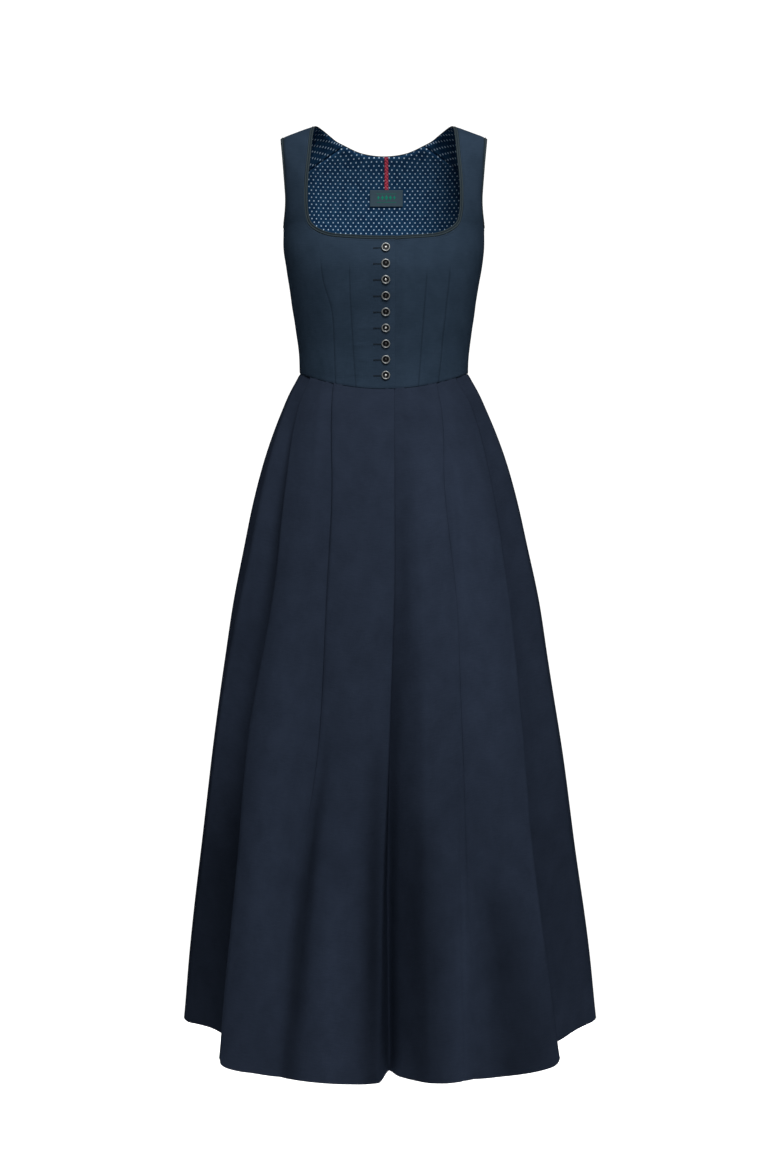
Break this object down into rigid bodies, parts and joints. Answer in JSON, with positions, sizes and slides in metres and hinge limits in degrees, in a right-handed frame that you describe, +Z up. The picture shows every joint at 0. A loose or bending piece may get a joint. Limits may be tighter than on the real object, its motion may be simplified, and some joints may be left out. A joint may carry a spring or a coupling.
{
  "type": "dirndl",
  "caption": "Sleeveless ankle-length dirndl: lined bodice with a low square neckline, buttoned down the front, and a full skirt in deep pleats, hollow as when worn.",
  "frame": {"origin": "midway between the two shoulder straps, level with the highest point of the straps, where the wearer's shoulders carry the dress", "axes": "+Z up, the front faces -Y, +X points to the wearer's left"},
  "size_m": [0.6264, 0.6029, 1.356],
  "materials": {
    "bodice_cloth": "matt plain-woven linen and cotton, blue-grey, with fine slubs",
    "skirt_cloth": "matt plain-woven linen and cotton, darker slate blue, with fine slubs",
    "lining_print": "matt cotton, dark blue with rows of small pale dots",
    "piping": "matt green-grey cloth, two narrow corded ridges",
    "tape": "satin-woven red braid",
    "label": "satin-woven slate grey with a plain green motif",
    "button": "antiqued silver metal, dark in the recess"
  },
  "bodies": {
    "root": {"front_right": "bodice_cloth", "front_left": "bodice_cloth", "back": "bodice_cloth", "lining_front_right": "lining_print", "lining_front_left": "lining_print", "lining_back": "lining_print", "neck_piping": "piping", "arm_piping_right": "piping", "arm_piping_left": "piping", "back_tape": "tape", "label": "label", "button_1": "button", "button_2": "button", "button_3": "button", "button_4": "button", "button_5": "button", "button_6": "button", "button_7": "button", "button_8": "button", "button_9": "button", "skirt_back_right": "skirt_cloth", "skirt_front_right": "skirt_cloth", "skirt_front_left": "skirt_cloth", "skirt_back_left": "skirt_cloth"}
  },
  "joints": []
}
